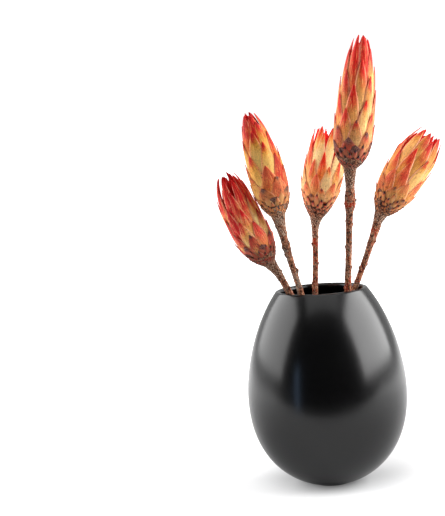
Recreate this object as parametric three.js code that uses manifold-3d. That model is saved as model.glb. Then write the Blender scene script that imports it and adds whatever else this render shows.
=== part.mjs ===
// Five dried protea stems standing in an egg-shaped black ceramic vase.
// Millimetres, +Z up, origin at the middle of the vase's flat foot, the front is -Y.
// Every flower is a woody stem with a scaly brown cup, and a bloom of keeled, coloured bracts
// that climb round a slim core by the golden angle.

import * as THREE from 'three';
import { mergeVertices } from 'three/addons/utils/BufferGeometryUtils.js';
import Module from 'manifold-3d';

const wasm = await Module();
wasm.setup();

// Vase: an egg that is widest at girthHeight, with a flat foot and a round lip
const VASE = {
  girthRadius: 71,
  girthHeight: 83.5,
  belowGirth: 85, // the lower half would close this far below the girth
  aboveGirth: 118, // the upper half would close this far above the girth
  lowerFullness: 2.35,
  upperFullness: 1.75,
  shoulder: 0.55, // exponent of the upper half, which slims it towards the mouth
  footRadius: 15.8,
  footEdge: 0.5, // height at which the rounded edge of the foot meets the egg
  lipStart: 174, // height at which the outside turns over into the lip
  wall: 5.6,
  sides: 32,
};

// Bloom proportions shared by all five heads
const GOLDEN_ANGLE = Math.PI * (3 - Math.sqrt(5));
const CUP_LENGTH = 13; // height of the brown scaly cup, measured up the head's own axis
const NODE_GAP = 0.3;
const CUP_FULLNESS = 2.7; // a larger number opens the cup faster above the neck
const CORE_DEPTH = 1.3; // the core lies this far inside the outline of the head
const ROOT_DEPTH = 2.1; // the keel of a bract lies this deep at its root
const TIP_DEPTH = 0.1;
const KEEL = 0.9; // how far the keel stands above the two edges of a bract
const FIRST_TIP = 5; // height of the lowest bract tip above the cup
const BUD_TIP = 12; // the core of a closed head ends this far below its tip
const SLIVER = 0.05; // joined surfaces drop points that move them less than this

// Flowers. Each stem runs through [x, y, z, radius] up to the neck, where the head's axis starts.
// footSlope is the sideways run of the hidden part of the stem for each millimetre down.
// The outline of a head opens from its neck to its belly and would close again at closeAt.
// turn and hand say where the lowest bract stands and which way the bracts climb. Above 1,
// crowding sets them closer together low on the head than near its top. The bracts that would
// climb into the crown, which is this much above the tip, all end level with the tip.
const FLOWERS = [
  {
    name: '1',
    seed: 92,
    turn: 4.468,
    hand: -1,
    crowding: 1.4,
    crown: 8,
    footSlope: [0.473, 0.167],
    stem: [[-27.8, -17.5, 175, 3], [-34.8, -19.3, 190, 3.3], [-39.1, -20.2, 197, 4]],
    neck: [-43.4, -20.9, 203.2, 5.6],
    tip: [-76.4, -30.3, 281.3],
    bow: [-2.5, 0, -1],
    outline: { neck: 6.1, belly: 16.9, rise: 31.5, bellyAt: 26.6, closeAt: 90, fullness: 3.1 },
    bracts: 48,
    width: 12.5,
    length: 34,
    open: 14,
    inner: 8,
  },
  {
    name: '2',
    seed: 157,
    turn: 4.957,
    hand: 1,
    crowding: 1.05,
    crown: 3,
    footSlope: [0.242, 0.177],
    stem: [
      [-17.5, -28.2, 175, 2.75], [-22.8, -30.2, 196.5, 2.8],
      [-27.1, -31.8, 214, 3.2], [-30.9, -33.3, 233, 4],
    ],
    neck: [-33, -34.2, 245, 6],
    tip: [-53.1, -39, 334.5],
    bow: [0.8, 0, 0.2],
    outline: { neck: 6.3, belly: 16.2, rise: 29, bellyAt: 34, closeAt: 94, fullness: 1.8 },
    bracts: 46,
    width: 14.5,
    length: 38,
    open: 0,
    inner: 6,
  },
  {
    name: '3',
    seed: 59,
    turn: 3.072,
    hand: 1,
    crowding: 1,
    crown: 10,
    footSlope: [-0.063, -0.109],
    stem: [[-5.2, 32.4, 175, 2.7], [-3.5, 35.4, 197, 2.7], [-2.5, 37.6, 219, 2.9], [-1.8, 38.6, 228, 3.5]],
    neck: [-0.5, 39.3, 235.6, 5.8],
    tip: [19.4, 47.2, 314.9],
    bow: [-1.1, 0, 0.3],
    outline: { neck: 6.3, belly: 18.6, rise: 41, bellyAt: 44, closeAt: 155, fullness: 1.2 },
    bracts: 48,
    width: 13,
    length: 36,
    open: 22,
    inner: 10,
  },
  {
    name: '4',
    seed: 29,
    turn: 0.279,
    hand: 1,
    crowding: 1.2,
    crown: 5,
    footSlope: [-0.08, 0.038],
    stem: [
      [23.2, -22.8, 175, 2.9], [25.9, -25, 210, 2.9], [28.2, -26.1, 240, 3.3],
      [29.5, -26.7, 253.5, 4.9], [30.3, -27.2, 266.5, 3.9],
    ],
    neck: [31.2, -27.9, 281.3, 5.5],
    tip: [47.3, -32.3, 392.1],
    bow: [0.3, 0, 0],
    outline: { neck: 5.7, belly: 17.4, rise: 28.8, bellyAt: 31, closeAt: 118, fullness: 2.2 },
    bracts: 56,
    width: 13,
    length: 38,
    open: 0,
    inner: 6,
  },
  {
    name: '5',
    seed: 17,
    turn: 1.466,
    hand: -1,
    crowding: 1,
    crown: 10,
    footSlope: [-0.44, -0.1],
    stem: [[31.6, 12.2, 175, 2.6], [41, 14.6, 196.5, 2.9], [48, 16.7, 214, 3.2], [53.3, 18.3, 228, 3.7]],
    neck: [57.6, 19.4, 236.8, 5.8],
    tip: [106.3, 27.5, 304.2],
    bow: [-0.6, 0, 0.4],
    outline: { neck: 6.3, belly: 19, rise: 40, bellyAt: 59.5, closeAt: 96, fullness: 1.2 },
    bracts: 51,
    width: 13,
    length: 34,
    open: 18,
    inner: 9,
  },
];

const MATERIALS = {
  glaze: new THREE.MeshStandardMaterial({ color: 0x1b1c1e, roughness: 0.38, metalness: 0 }),
  bark: new THREE.MeshStandardMaterial({ color: 0x6d4130, roughness: 0.85, metalness: 0, flatShading: true }),
  bract: new THREE.MeshStandardMaterial({ color: 0xd9653c, roughness: 0.6, metalness: 0, flatShading: true }),
};

const vec = (p) => new THREE.Vector3(p[0], p[1], p[2]);

// A repeatable draw between 0 and 1
function draw(index, salt) {
  const value = Math.sin(index * 12.9898 + salt * 78.233) * 43758.5453;
  return value - Math.floor(value);
}

// Closed solid through rings of points, all with the same count, each ring counter-clockwise
// seen from the far end. Each end closes on its middle, or on the point given for it.
function loft(rings, endPoint) {
  const count = rings[0].length;
  const points = rings.flat();
  const sum = (ring) => ring.reduce((total, p) => total.add(p), new THREE.Vector3());
  const middle = (ring) => sum(ring).divideScalar(count);
  const first = points.push(middle(rings[0])) - 1;
  const last = points.push(endPoint ?? middle(rings[rings.length - 1])) - 1;
  const triangles = [];
  for (let k = 0; k < count; k++) {
    const next = (k + 1) % count;
    triangles.push(first, next, k);
    for (let j = 0; j + 1 < rings.length; j++) {
      const low = j * count;
      const high = low + count;
      if ((j + k) % 2) {
        triangles.push(low + k, low + next, high + k, low + next, high + next, high + k);
      } else {
        triangles.push(low + k, low + next, high + next, low + k, high + next, high + k);
      }
    }
    const top = (rings.length - 1) * count;
    triangles.push(last, top + k, top + next);
  }
  return solid(points, triangles);
}

function solid(points, triangles) {
  const vertProperties = new Float32Array(points.flatMap((p) => [p.x, p.y, p.z]));
  const triVerts = new Uint32Array(triangles);
  return new wasm.Manifold(new wasm.Mesh({ numProp: 3, vertProperties, triVerts }));
}

function geometryOf(manifold) {
  const { vertProperties, triVerts } = manifold.getMesh();
  const geometry = new THREE.BufferGeometry();
  geometry.setAttribute('position', new THREE.BufferAttribute(vertProperties, 3));
  geometry.setIndex(new THREE.BufferAttribute(triVerts, 1));
  geometry.computeVertexNormals();
  return geometry;
}

// Radius of the vase's outside at a height
function vaseRadius(z) {
  if (z < VASE.girthHeight) {
    const s = (VASE.girthHeight - z) / VASE.belowGirth;
    return VASE.girthRadius * Math.sqrt(1 - s ** VASE.lowerFullness);
  }
  const s = (z - VASE.girthHeight) / VASE.aboveGirth;
  return VASE.girthRadius * (1 - s ** VASE.upperFullness) ** VASE.shoulder;
}

// Direction in which the outside faces at a height, as [radial, up]
function vaseNormal(z) {
  const step = 0.01;
  const slope = (vaseRadius(z + step) - vaseRadius(z - step)) / (2 * step);
  const size = Math.hypot(1, slope);
  return [1 / size, -slope / size];
}

// Heights of the section's points: closer together towards the foot, where the egg turns fastest
function vaseHeights(lower, upper) {
  const heights = [];
  const drop = VASE.girthHeight - VASE.footEdge;
  const rise = VASE.lipStart - VASE.girthHeight;
  const swing = 0.4 * Math.PI;
  for (let i = 0; i < lower; i++) {
    heights.push(VASE.girthHeight - drop * Math.cos((Math.PI * i) / (2 * lower)));
  }
  for (let i = 0; i <= upper; i++) {
    heights.push(VASE.girthHeight + (rise * Math.sin((swing * i) / upper)) / Math.sin(swing));
  }
  return heights;
}

// Half section of the vase: out along the foot, up the outside, over the lip, down the inside
function vaseSection() {
  const outside = vaseHeights(8, 6).map((z) => [vaseRadius(z), z]);
  const inside = vaseHeights(5, 4).reverse().map((z) => {
    const [radial, up] = vaseNormal(z);
    return [vaseRadius(z) - VASE.wall * radial, z - VASE.wall * up];
  });
  const lip = [];
  const [radial, up] = vaseNormal(VASE.lipStart);
  const half = VASE.wall / 2;
  const middle = [vaseRadius(VASE.lipStart) - half * radial, VASE.lipStart - half * up];
  const start = Math.atan2(up, radial);
  const arcSteps = 5;
  for (let i = 1; i < arcSteps; i++) {
    const angle = start + (Math.PI * i) / arcSteps;
    lip.push([middle[0] + half * Math.cos(angle), middle[1] + half * Math.sin(angle)]);
  }
  const floor = inside[inside.length - 1];
  return { outline: [[0, 0], [VASE.footRadius, 0], ...outside, ...lip, ...inside, [0, floor[1]]], inside };
}

// Radius of the hollow at a height, read along its section
function hollowRadius(z) {
  for (let i = 0; i + 1 < vaseShape.inside.length; i++) {
    const [r0, z0] = vaseShape.inside[i];
    const [r1, z1] = vaseShape.inside[i + 1];
    if (z <= z0 && z >= z1) return r0 + ((r1 - r0) * (z0 - z)) / (z0 - z1);
  }
  return z > VASE.girthHeight ? vaseShape.inside[0][0] : 0;
}

function makeVase() {
  const rings = [];
  const section = vaseShape.outline.slice(1, -1);
  for (const [radius, z] of section) {
    const ring = [];
    for (let k = 0; k < VASE.sides; k++) {
      const angle = (2 * Math.PI * k) / VASE.sides;
      ring.push(new THREE.Vector3(radius * Math.cos(angle), radius * Math.sin(angle), z));
    }
    rings.push(ring);
  }
  return loft(rings);
}

// Point of a smooth curve through four-number points, t counts the points passed
function along(points, t) {
  const i = Math.min(Math.floor(t), points.length - 2);
  const s = t - i;
  const at = (n) => points[Math.max(0, Math.min(points.length - 1, n))];
  const [a, b, c, d] = [at(i - 1), at(i), at(i + 1), at(i + 2)];
  return b.map((_, n) => {
    const bend = 2 * a[n] - 5 * b[n] + 4 * c[n] - d[n];
    const twist = 3 * (b[n] - c[n]) + d[n] - a[n];
    return b[n] + 0.5 * s * (c[n] - a[n] + s * (bend + s * twist));
  });
}

// Two directions across an axis, the first to the right of it as seen from the front
function across(axis) {
  const right = new THREE.Vector3().crossVectors(new THREE.Vector3(0, 1, 0), axis).normalize();
  const back = new THREE.Vector3().crossVectors(axis, right);
  return [right, back];
}

function ringPoint(middle, right, back, angle, radius) {
  const point = middle.clone().addScaledVector(right, radius * Math.cos(angle));
  return point.addScaledVector(back, radius * Math.sin(angle));
}

// The head's own axis, with a slight bow, and its outline
function headFrame(flower) {
  const neck = vec(flower.neck);
  const axis = vec(flower.tip).sub(neck);
  const length = axis.length();
  axis.normalize();
  const [right, back] = across(axis);
  const bow = vec(flower.bow);
  const point = (height, angle, radius) => {
    const s = height / length;
    const middle = neck.clone().addScaledVector(axis, height).addScaledVector(bow, 4 * s * (1 - s));
    return ringPoint(middle, right, back, angle, radius);
  };
  return { length, axis, point };
}

function headRadius(outline, height) {
  const opened = Math.min(height / outline.rise, 1);
  const radius = outline.neck + (outline.belly - outline.neck) * (1 - (1 - opened) ** CUP_FULLNESS);
  const closing = (height - outline.bellyAt) / (outline.closeAt - outline.bellyAt);
  const s = Math.max(0, Math.min(closing, 0.995));
  return radius * (1 - s ** outline.fullness) ** 0.6;
}

// Woody stem: a straight hidden part down to where its cut end meets the inside of the vase,
// then the curve up to the neck, with rough bark and a few leaf scars
function makeStem(flower) {
  const sides = 7;
  const rim = flower.stem[0];
  const [runX, runY] = flower.footSlope;
  const clearance = 0.4;
  const footStep = 0.5;
  const down = new THREE.Vector3(runX, runY, -1).normalize();
  const [right, back] = across(down.clone().negate());
  const floor = vaseShape.inside[vaseShape.inside.length - 1][1];
  const footRing = (drop) => {
    const middle = new THREE.Vector3(rim[0] + runX * drop, rim[1] + runY * drop, rim[2] - drop);
    const ring = [];
    for (let k = 0; k < sides; k++) {
      ring.push(ringPoint(middle, right, back, (2 * Math.PI * k) / sides, rim[3]));
    }
    return ring;
  };
  const clear = (p) => Math.hypot(p.x, p.y) < hollowRadius(p.z) - clearance && p.z > floor + clearance;
  let drop = VASE.girthHeight;
  while (footRing(drop + footStep).every(clear)) drop += footStep;

  const rings = [footRing(drop), footRing(drop * 0.45)];
  const curve = [...flower.stem, flower.neck];
  const stations = 2 * (curve.length - 1);
  for (let j = 0; j <= stations; j++) {
    const t = (j / stations) * (curve.length - 1);
    const here = along(curve, t);
    const ahead = along(curve, Math.min(t + 0.05, curve.length - 1));
    const behind = along(curve, Math.max(t - 0.05, 0));
    const [side, far] = across(vec(ahead).sub(vec(behind)).normalize());
    const ring = [];
    const scar = Math.floor(draw(j, flower.seed) * sides * 2);
    for (let k = 0; k < sides; k++) {
      const rough = here[3] * 0.12 * (draw(j * sides + k, flower.seed + 20) - 0.5);
      const bump = k === scar && j > 0 ? 1 : 0;
      ring.push(ringPoint(vec(here), side, far, (2 * Math.PI * k) / sides, here[3] + rough + bump));
    }
    rings.push(ring);
  }
  return largestShell(loft(rings).add(makeCup(flower)));
}

// Brown cup under the bloom: rings of diamond scales, each with its tip raised and drawn upward
function makeCup(flower) {
  const head = headFrame(flower);
  const sides = 14;
  const rows = 7;
  const start = -5;
  const tipHeight = 0.6;
  const notch = 0.7;
  const rings = [];
  for (let j = 0; j <= rows; j++) {
    const height = start + ((CUP_LENGTH - NODE_GAP / 2 - start) * j) / rows;
    const below = flower.neck[3] * (1 + height * 0.045);
    const radius = height < 0 ? below : headRadius(flower.outline, height) - 0.5;
    const ring = [];
    for (let k = 0; k < sides; k++) {
      const raised = (j + k) % 2 === 0;
      const flat = j === rows;
      const offset = raised ? tipHeight : -notch;
      const climb = raised && !flat && j > 0 ? 0.6 : 0;
      ring.push(head.point(height + climb, (2 * Math.PI * k) / sides, radius + (flat ? 0 : offset)));
    }
    rings.push(ring);
  }
  return loft(rings);
}

// Height at which the core ends: well below the tips of an open head, just below those of a bud
function coreTop(flower, head) {
  return head.length - Math.max(flower.open, BUD_TIP);
}

// Slim core that the bracts stand out of
function makeCore(flower) {
  const head = headFrame(flower);
  const sides = 12;
  const bottom = CUP_LENGTH + NODE_GAP / 2;
  const top = coreTop(flower, head);
  const rows = 6;
  const rings = [];
  for (let j = 0; j <= rows; j++) {
    const height = bottom + ((top - bottom) * j) / rows;
    const rounded = j === rows ? 0.8 : 1;
    const radius = (headRadius(flower.outline, height) - CORE_DEPTH) * rounded;
    const ring = [];
    for (let k = 0; k < sides; k++) ring.push(head.point(height, (2 * Math.PI * k) / sides, radius));
    rings.push(ring);
  }
  return loft(rings, head.point(top + BUD_TIP * 0.5, 0, 0));
}

// One bract: a keeled blade from its root in the core to its pointed tip.
// spread is 1 on the outside of the head and less for the bracts that stand inside an open one.
function makeBract(flower, head, bract) {
  const { angle, tip, root, width, spread, flare } = bract;
  const stations = [[0, 0.8], [0.38, 1], [0.72, 0.58]];
  const place = (s, turn, drop) => {
    const height = root + (tip - root) * s;
    const depth = ROOT_DEPTH + (TIP_DEPTH - ROOT_DEPTH) * s;
    const radius = (headRadius(flower.outline, height) - depth + flare * s ** 3) * spread - drop;
    return head.point(height, angle + turn, Math.max(radius, 0.4));
  };
  const rings = stations.map(([s, share]) => {
    const height = root + (tip - root) * s;
    const radius = Math.max(headRadius(flower.outline, height) * spread, 2.5);
    const turn = Math.min((width * share) / (2 * radius), 1.1);
    return [place(s, -turn, KEEL), place(s, 0, 0), place(s, turn, KEEL)];
  });
  const points = [...rings.flat(), place(1, 0, 0)];
  const triangles = [0, 2, 1];
  const end = points.length - 1;
  for (let k = 0; k < 3; k++) {
    const next = (k + 1) % 3;
    for (let j = 0; j + 1 < rings.length; j++) {
      const low = 3 * j;
      const high = low + 3;
      triangles.push(low + k, low + next, high + k, low + next, high + next, high + k);
    }
    const top = 3 * (rings.length - 1);
    triangles.push(top + k, top + next, end);
  }
  return solid(points, triangles);
}

// Angle, height and size of every bract of a head, from the lowest to the innermost
function bractList(flower, head) {
  const list = [];
  const bottom = CUP_LENGTH + NODE_GAP / 2 + 0.4;
  const outer = flower.bracts - flower.inner;
  const rootLimit = coreTop(flower, head) - 5;
  for (let i = 0; i < flower.bracts; i++) {
    const jitter = 0.25 * (draw(i, flower.seed + 40) - 0.5);
    const angle = flower.hand * i * GOLDEN_ANGLE + flower.turn + jitter;
    const inside = i >= outer;
    const climb = Math.min(i / (outer - 1), 1);
    const ragged = 5 * (draw(i, flower.seed + 60) - 0.5) * climb;
    const lowest = CUP_LENGTH + FIRST_TIP;
    const highest = head.length + flower.crown;
    const depth = inside ? (i - outer) / flower.inner : 0;
    const level = Math.min(lowest + (highest - lowest) * climb ** flower.crowding, head.length);
    const tip = level + ragged - 5 * depth;
    const reach = flower.length * (0.45 + 0.55 * Math.min(climb * 2.5, 1));
    const root = Math.max(bottom, Math.min(tip - reach, rootLimit));
    const width = flower.width * (0.8 + 0.35 * Math.sin(Math.PI * Math.min(climb * 1.15, 1)));
    const spread = inside ? 0.78 - 0.5 * depth : 1;
    const flare = flower.open ? 1 : 0.4;
    list.push({ angle, tip, root, width: inside ? width * 0.75 : width, spread, flare });
  }
  return list;
}

function makeBloom(flower) {
  const head = headFrame(flower);
  const blades = bractList(flower, head).map((bract) => makeBract(flower, head, bract));
  return largestShell(wasm.Manifold.union([makeCore(flower), ...blades]));
}

// The outer shell alone: small hollows sealed between blades are filled, loose scraps dropped.
// Joining points closer than a micrometre can pinch off more of them, so it is repeated.
function largestShell(manifold) {
  let shell = manifold.simplify(SLIVER);
  let shells = [];
  do {
    const merged = mergeVertices(geometryOf(shell).deleteAttribute('normal'), 0.001);
    const position = merged.getAttribute('position').array;
    const triangles = new Uint32Array(merged.getIndex().array);
    const joined = new wasm.Mesh({ numProp: 3, vertProperties: position, triVerts: triangles });
    shells = new wasm.Manifold(joined).decompose();
    shell = shells.reduce((best, one) => (one.volume() > best.volume() ? one : best));
  } while (shells.length > 1);
  return shell;
}

function addMesh(group, name, manifold, material) {
  const mesh = new THREE.Mesh(geometryOf(manifold), material.clone());
  mesh.name = name;
  group.add(mesh);
}

const vaseShape = vaseSection();
const protea = new THREE.Group();
addMesh(protea, 'vase', makeVase(), MATERIALS.glaze);
for (const flower of FLOWERS) {
  addMesh(protea, `stem_${flower.name}`, makeStem(flower), MATERIALS.bark);
  addMesh(protea, `bloom_${flower.name}`, makeBloom(flower), MATERIALS.bract);
}

export default protea;
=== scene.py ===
import math

import bpy
import numpy as np
from mathutils import Matrix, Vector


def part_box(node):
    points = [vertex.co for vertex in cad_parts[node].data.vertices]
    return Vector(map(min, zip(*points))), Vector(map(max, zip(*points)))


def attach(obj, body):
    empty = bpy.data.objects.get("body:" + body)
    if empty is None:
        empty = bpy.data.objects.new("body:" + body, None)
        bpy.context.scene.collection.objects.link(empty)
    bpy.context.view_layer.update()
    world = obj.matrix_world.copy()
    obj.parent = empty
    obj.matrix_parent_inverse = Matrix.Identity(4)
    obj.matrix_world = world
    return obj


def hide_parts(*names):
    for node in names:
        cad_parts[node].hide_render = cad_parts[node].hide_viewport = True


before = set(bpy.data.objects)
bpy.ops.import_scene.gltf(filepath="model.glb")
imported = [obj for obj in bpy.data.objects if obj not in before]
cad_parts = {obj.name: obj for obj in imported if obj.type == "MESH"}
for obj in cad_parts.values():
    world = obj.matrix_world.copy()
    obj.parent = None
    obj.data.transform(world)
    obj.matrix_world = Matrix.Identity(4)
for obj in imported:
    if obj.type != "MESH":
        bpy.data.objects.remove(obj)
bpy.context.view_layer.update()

MM = 0.001
GOLDEN_ANGLE = math.pi * (3 - math.sqrt(5))
FAN_CENTRE = 0.01

# Vase: an egg that is widest at its girth, with a flat foot and a round lip. Its lower and upper curves
# would close BELOW_GIRTH below the girth and ABOVE_GIRTH above it.
GIRTH_RADIUS = 71
GIRTH_HEIGHT = 83.5
BELOW_GIRTH = 85
ABOVE_GIRTH = 118
LOWER_FULLNESS = 2.35
UPPER_FULLNESS = 1.75
SHOULDER = 0.55
FOOT_RADIUS = 15.8
FOOT_EDGE = 0.5
LIP_START = 174
WALL = 5.6
CENTRE = 0.2

# Points round the vase, and rows of points along each stretch of its profile
VASE_SIDES = 224
FOOT_ROWS = 6
EDGE_ROWS = 9
LOWER_ROWS = 56
UPPER_ROWS = 48
LIP_ROWS = 18
FLOOR_ROWS = 8

# Heads: the cup of scales ends CUP_LENGTH above the neck, a gap parts it from the bracts, and the lowest
# bract's tip stands FIRST_TIP above it. The core of a closed bud ends BUD_TIP below the head's tip.
CUP_LENGTH = 13
CUP_FULLNESS = 2.7
NODE_GAP = 0.3
FIRST_TIP = 5
BUD_TIP = 12
CLOSING_POWER = 0.6
MOST_CLOSED = 0.995

# The core that the bracts stand on lies CORE_DEPTH inside the head's outline and has a round top
CORE_DEPTH = 2
CORE_ROUNDING = 6
CORE_ROWS = 24
CORE_SIDES = 36

# Places of the bracts: a jitter of their angles in radians, uneven tips, and how far the innermost sink
ANGLE_JITTER = 0.25
UNEVENNESS = 5
INNER_SINK = 5

# A bract's blade narrows to its point over BRACT_TAPER of its length and to its root over ROOT_TAPER,
# and bends round the head no tighter than TIGHTEST_BEND. Its tip stands TIP_STAND out of the head's outline
# and it lies SINK_RATE deeper for each millimetre from there. The other sizes are how far its edges are
# drawn in and wave, its midrib stands out, its root is tucked in and its tip leans, and how thick it is.
BRACT_ROWS = 25
BRACT_COLUMNS = 11
BRACT_TAPER = 0.7
ROOT_TAPER = 0.38
POINT_SHARE = 0.015
TIGHTEST_BEND = 8.5
TIP_STAND = 0.35
SINK_RATE = 0.045
KEEL = 0.75
EDGE_WAVE = 0.16
MIDRIB = 0.22
MIDRIB_WIDTH = 0.16
ROOT_TUCK = 2.2
TIP_LEAN = 2.2
BLADE = 0.85

# Bracts whose tips stand lower than LOW_BRACTS_END are drier, and wholly so LOW_BRACTS_FADE below it
LOW_BRACTS_END = 58
LOW_BRACTS_FADE = 40

# Each stem runs through (x, y, z, radius) up to the neck, where the head's axis starts. Below the lip it
# goes straight down, and foot_slope is how far it moves along x and y for each millimetre.
# The outline of a head opens from its neck to its belly over rise, and above belly_at it closes as if to
# end at close_at. bow is how far the middle of the axis stands off the straight line.
# turn and hand set where the first bract stands and which way the bracts climb. crowding packs them
# towards the neck, crown makes more of them end at the top, and the last few, inner, fill the middle.
# width and length are those of a large bract, open is how far the core ends below the tips of an open
# head, and red_side is where the reddest bracts face.
FLOWERS = [
    dict(
        name="1", seed=56, turn=3.613, hand=-1, crowding=1.1, crown=8,
        foot_slope=(0.473, 0.167),
        stem=[(-27.8, -17.5, 175, 3), (-34.8, -19.3, 190, 3.3), (-39.1, -20.2, 197, 4)],
        neck=(-43.4, -20.9, 203.2, 5.6), tip=(-76.4, -30.3, 281.3), bow=(-2.5, 0, -1),
        outline=dict(neck=6.1, belly=16.9, rise=31.5, belly_at=26.6, close_at=90, fullness=3.1),
        bracts=52, width=11, length=40, open=14, inner=9,
    ),
    dict(
        name="2", seed=52, turn=4.869, hand=1, crowding=1.1, crown=5,
        foot_slope=(0.242, 0.177),
        stem=[(-17.5, -28.2, 175, 2.75), (-22.8, -30.2, 196.5, 2.8), (-27.1, -31.8, 214, 3.2),
              (-30.9, -33.3, 233, 4)],
        neck=(-33, -34.2, 245, 6), tip=(-53.1, -39, 334.5), bow=(0.8, 0, 0.2),
        outline=dict(neck=6.3, belly=16.2, rise=29, belly_at=34, close_at=94, fullness=1.8),
        bracts=42, width=16, length=42, open=0, inner=7,
    ),
    dict(
        name="3", seed=111, turn=2.749, hand=-1, crowding=1.2, crown=10,
        foot_slope=(-0.063, -0.109),
        stem=[(-5.2, 32.4, 175, 2.7), (-3.5, 35.4, 197, 2.7), (-2.5, 37.6, 219, 2.9),
              (-1.8, 38.6, 228, 3.5)],
        neck=(-0.5, 39.3, 235.6, 5.8), tip=(19.4, 47.2, 314.9), bow=(-1.1, 0, 0.3),
        outline=dict(neck=6.3, belly=18.6, rise=41, belly_at=44, close_at=155, fullness=1.2),
        bracts=58, width=10.5, length=42, open=22, inner=12, red_side=2.7,
    ),
    dict(
        name="4", seed=42, turn=1.649, hand=1, crowding=1.4, crown=5,
        foot_slope=(-0.08, 0.038),
        stem=[(23.2, -22.8, 175, 2.9), (25.9, -25, 210, 2.9), (28.2, -26.1, 240, 3.3),
              (29.5, -26.7, 253.5, 4.9), (30.3, -27.2, 266.5, 3.9)],
        neck=(31.2, -27.9, 281.3, 5.5), tip=(47.3, -32.3, 392.1), bow=(0.3, 0, 0),
        outline=dict(neck=5.7, belly=17.4, rise=28.8, belly_at=31, close_at=118, fullness=2.2),
        bracts=56, width=12.6, length=44, open=0, inner=9,
    ),
    dict(
        name="5", seed=24, turn=3.927, hand=-1, crowding=1.1, crown=10,
        foot_slope=(-0.44, -0.1),
        stem=[(31.6, 12.2, 175, 2.6), (41, 14.6, 196.5, 2.9), (48, 16.7, 214, 3.2),
              (53.3, 18.3, 228, 3.7)],
        neck=(57.6, 19.4, 236.8, 5.8), tip=(106.3, 27.5, 304.2), bow=(-0.6, 0, 0.4),
        outline=dict(neck=6.3, belly=19, rise=40, belly_at=59.5, close_at=96, fullness=1.2),
        bracts=50, width=12.2, length=40, open=18, inner=10, red_side=0.5,
    ),
]

# Bark: the usual radius of a stem, the points round and along it, and the leaf scars up its length
STEM_RADIUS = 2.7
BARK_SIDES = 40
BARK_STEP = 0.6
HIDDEN_ROWS = 25
FOOT_CLEARANCE = 1.5
SCAR_SPACING = 4.6
SCAR_WIDTH = 1.1
SCAR_ABOVE = 0.6
SCAR_BELOW = 1.7
LAST_SCAR = -9

# Scales from the top of the stem up to the first bracts, at places measured from the neck: how far
# apart they stand, how wide they are and how far their dark points reach. A scale's share of the
# surface is SCALE_ASPECT times as long as wide, and the scale is SCALE_OVERLAP times as long as that.
SCALE_PLACES = (-17, 0, 4, 8, 13, 18, 25)
SCALE_SPACINGS = (2.3, 2.5, 3, 4, 6, 8.2, 11)
SCALE_WIDTHS = (2.8, 3.1, 3.6, 4.8, 6.4, 7.6, 9)
POINT_PLACES = (-17, 0, 5, 12, 25)
POINT_REACHES = (0.9, 1, 1.5, 2.5, 3.4)
SCALE_ASPECT = 1.55
SCALE_OVERLAP = 1.5
SCALE_ROWS = 9
SCALE_COLUMNS = 7

# By flower: how far the dark points of its scales and the dry points of its bracts reach, as a share of
# the usual, how far down its bracts are red, how pale their thin edges are, how dark the lines are
# between its upper scales (brown edges and painted shade in the gaps), and how red and how grey its bark is
DARK_POINTS = {"1": 0.95, "2": 0.7, "3": 1.0, "4": 1.35, "5": 1.1}
DRY_POINTS = {"1": 1.5, "2": 1.2, "3": 0.8, "4": 1.9, "5": 0.8}
RED_REACH = {"1": 22, "2": 14, "3": 9.4, "4": 17, "5": 9.5}
PALE_EDGE = {"1": 0.25, "2": 0.2, "3": 0.4, "4": 0.2, "5": 0.55}
SCALE_LINES_AND_GAP_SHADE = {"1": 0.45, "2": 0.1, "3": 0.6, "4": 0.5, "5": 0.4}
BARK_REDNESS = {"1": 0.4, "2": 0.2, "3": 0.7, "4": 0.45, "5": 0.5}
BARK_GREYNESS = {"1": 0.45, "2": 0.85, "3": 0.3, "4": 0.5, "5": 0.35}

# Swellings of the stems (height, reach along the stem, size, direction) and their redder stretches
# (height, reach, redness)
SWELLINGS = {
    "2": [(217, 1.8, 1.1, 3.0), (219, 1.6, 0.9, 0.1), (213, 3.5, 0.5, 5.2), (195, 2.4, 1.2, 0.2)],
    "4": [(249, 3, 0.6, 0.3), (186, 2, 0.6, 3.4)],
    "5": [(225, 4, 0.9, 0.1), (217, 5, 0.7, 0.5)],
}
RED_STRETCHES = {
    "3": [(214, 10, 0.95)],
    "4": [(250, 7, 1.0), (180, 12, 0.9)],
    "5": [(222, 9, 1.0)],
}

# Colours of each head, as 8-bit sRGB. A bract runs from tip through red, middle and gold to pale, at
# places on its streak, and has margin along its sides. inner is the colour of the innermost bracts, cup
# and blush are the ground and the red of the scales below them.
STREAK_PLACES = {"tip": 0.0, "red": 0.2, "middle": 0.31, "gold": 0.45, "pale": 0.85}
HEAD_COLOURS = {
    "1": dict(
        tip=(206, 12, 18), red=(228, 40, 44), middle=(240, 100, 68), gold=(255, 180, 98),
        pale=(255, 224, 146), margin=(240, 136, 112), inner=(206, 20, 26),
        cup=(172, 86, 62), blush=(160, 54, 44),
    ),
    "2": dict(
        tip=(182, 10, 18), red=(210, 36, 32), middle=(220, 102, 44), gold=(234, 160, 64),
        pale=(248, 198, 112), margin=(236, 116, 80), inner=(196, 30, 34),
        cup=(222, 156, 96), blush=(206, 116, 72),
    ),
    "3": dict(
        tip=(228, 14, 8), red=(240, 66, 36), middle=(246, 128, 62), gold=(252, 182, 98),
        pale=(255, 228, 160), margin=(255, 172, 128), inner=(240, 22, 12),
        cup=(232, 162, 108), blush=(220, 96, 76),
    ),
    "4": dict(
        tip=(212, 14, 14), red=(232, 40, 30), middle=(234, 96, 56), gold=(242, 156, 82),
        pale=(252, 200, 128), margin=(252, 148, 122), inner=(226, 30, 20),
        cup=(194, 108, 78), blush=(190, 66, 54),
    ),
    "5": dict(
        tip=(200, 26, 24), red=(218, 58, 46), middle=(222, 106, 58), gold=(224, 148, 66),
        pale=(244, 188, 112), margin=(242, 140, 98), inner=(218, 28, 18),
        cup=(234, 166, 104), blush=(214, 106, 66),
    ),
}

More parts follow.
